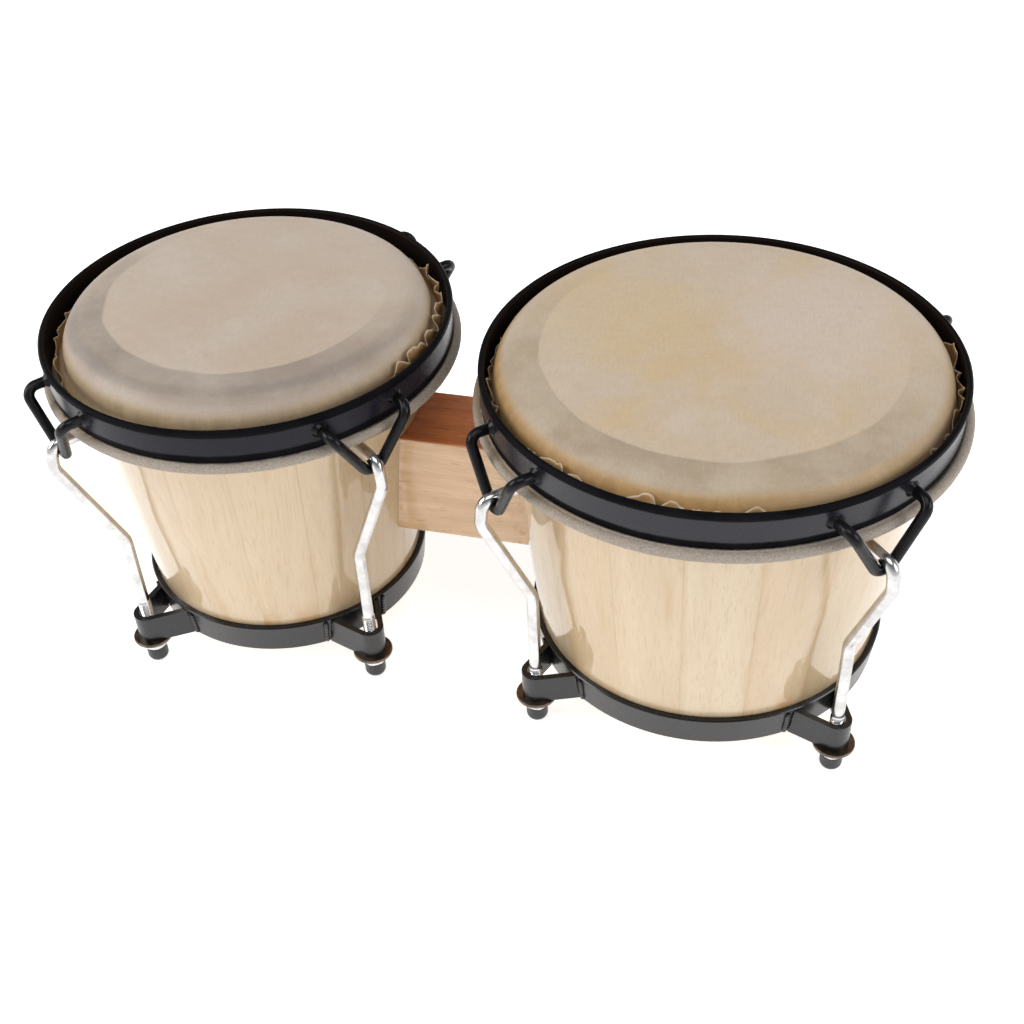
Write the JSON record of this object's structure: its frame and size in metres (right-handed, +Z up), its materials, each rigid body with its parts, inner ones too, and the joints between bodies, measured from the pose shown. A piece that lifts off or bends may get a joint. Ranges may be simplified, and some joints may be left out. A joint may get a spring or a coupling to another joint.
{
  "type": "bongo drums",
  "caption": "Pair of hand drums: small and large tapered staved wooden shells joined by a wooden block, rawhide heads tensioned by rims, loops, hooked rods and nuts.",
  "frame": {"origin": "on the standing surface, under the middle of the overall box", "axes": "+Z up along the drum axes, +X from the small drum to the large drum, -Y towards the player's side shown in front"},
  "size_m": [0.3972, 0.2032, 0.164],
  "materials": {
    "shell_wood": "clear gloss lacquer over pale staves",
    "block_wood": "clear gloss lacquer over beech",
    "hide": "natural rawhide, dull satin",
    "black_coat": "satin gloss black powder coat on steel",
    "chrome": "polished chrome plate on steel",
    "bright_nut": "bright zinc plate",
    "dark_plate": "dark oxide plate on steel",
    "rubber": "matte black rubber",
    "steel": "plain steel"
  },
  "bodies": {
    "root": {"centre_block": "block_wood", "small_shell_staves": "shell_wood", "small_head": "hide", "small_bottom_ring": "black_coat", "small_lugs": "black_coat", "small_washers": "dark_plate", "small_block_bolts": "steel", "small_bolt_washers": "steel", "large_shell_staves": "shell_wood", "large_head": "hide", "large_bottom_ring": "black_coat", "large_lugs": "black_coat", "large_washers": "dark_plate", "large_block_bolts": "steel", "large_bolt_washers": "steel"},
    "small_tuning": {"small_hide_hem": "hide", "small_flesh_hoop": "steel", "small_rim": "black_coat", "small_rim_loops": "black_coat", "small_foot_caps": "rubber", "small_rod_front_left": "chrome", "small_rod_front_right": "chrome", "small_rod_back_right": "chrome", "small_rod_back_left": "chrome"},
    "large_tuning": {"large_hide_hem": "hide", "large_flesh_hoop": "steel", "large_rim": "black_coat", "large_rim_loops": "black_coat", "large_foot_caps": "rubber", "large_rod_front_left": "chrome", "large_rod_front_right": "chrome", "large_rod_back_right": "chrome", "large_rod_back_left": "chrome"},
    "small_nut_front_left": {"small_nut_front_left": "bright_nut"},
    "small_nut_front_right": {"small_nut_front_right": "bright_nut"},
    "small_nut_back_right": {"small_nut_back_right": "bright_nut"},
    "small_nut_back_left": {"small_nut_back_left": "bright_nut"},
    "large_nut_front_left": {"large_nut_front_left": "bright_nut"},
    "large_nut_front_right": {"large_nut_front_right": "bright_nut"},
    "large_nut_back_right": {"large_nut_back_right": "bright_nut"},
    "large_nut_back_left": {"large_nut_back_left": "bright_nut"}
  },
  "joints": [
    {"name": "small_tuning_slide", "type": "slide", "parent": "root", "child": "small_tuning", "axis": [0, 0, 1], "range_m": [-0.005, 0]},
    {"name": "small_nut_front_left_turn", "type": "hinge", "parent": "root", "child": "small_nut_front_left", "pos_m": [-0.15254, -0.06504, 0.0114], "axis": [0, 0, 1], "range_deg": [-10, 1810]},
    {"name": "small_nut_front_right_turn", "type": "hinge", "parent": "root", "child": "small_nut_front_right", "pos_m": [-0.04781, -0.05292, 0.0114], "axis": [0, 0, 1], "range_deg": [-10, 1810]},
    {"name": "small_nut_back_right_turn", "type": "hinge", "parent": "root", "child": "small_nut_back_right", "pos_m": [-0.0579, 0.0624, 0.0114], "axis": [0, 0, 1], "range_deg": [-10, 1810]},
    {"name": "small_nut_back_left_turn", "type": "hinge", "parent": "root", "child": "small_nut_back_left", "pos_m": [-0.1694, 0.0491, 0.0114], "axis": [0, 0, 1], "range_deg": [-10, 1810]},
    {"name": "large_tuning_slide", "type": "slide", "parent": "root", "child": "large_tuning", "axis": [0, 0, 1], "range_m": [-0.005, 0]},
    {"name": "large_nut_front_left_turn", "type": "hinge", "parent": "root", "child": "large_nut_front_left", "pos_m": [0.03205, -0.06316, 0.0114], "axis": [0, 0, 1], "range_deg": [-10, 1810]},
    {"name": "large_nut_front_right_turn", "type": "hinge", "parent": "root", "child": "large_nut_front_right", "pos_m": [0.16151, -0.06362, 0.0114], "axis": [0, 0, 1], "range_deg": [-10, 1810]},
    {"name": "large_nut_back_right_turn", "type": "hinge", "parent": "root", "child": "large_nut_back_right", "pos_m": [0.16326, 0.06179, 0.0114], "axis": [0, 0, 1], "range_deg": [-10, 1810]},
    {"name": "large_nut_back_left_turn", "type": "hinge", "parent": "root", "child": "large_nut_back_left", "pos_m": [0.03521, 0.06626, 0.0114], "axis": [0, 0, 1], "range_deg": [-10, 1810]}
  ],
  "couplings": [
    {"joint": "small_nut_front_left_turn", "follows": "small_tuning_slide", "rad_per_m": -6283.2},
    {"joint": "small_nut_front_right_turn", "follows": "small_tuning_slide", "rad_per_m": -6283.2},
    {"joint": "small_nut_back_right_turn", "follows": "small_tuning_slide", "rad_per_m": -6283.2},
    {"joint": "small_nut_back_left_turn", "follows": "small_tuning_slide", "rad_per_m": -6283.2},
    {"joint": "large_nut_front_left_turn", "follows": "large_tuning_slide", "rad_per_m": -6283.2},
    {"joint": "large_nut_front_right_turn", "follows": "large_tuning_slide", "rad_per_m": -6283.2},
    {"joint": "large_nut_back_right_turn", "follows": "large_tuning_slide", "rad_per_m": -6283.2},
    {"joint": "large_nut_back_left_turn", "follows": "large_tuning_slide", "rad_per_m": -6283.2}
  ]
}
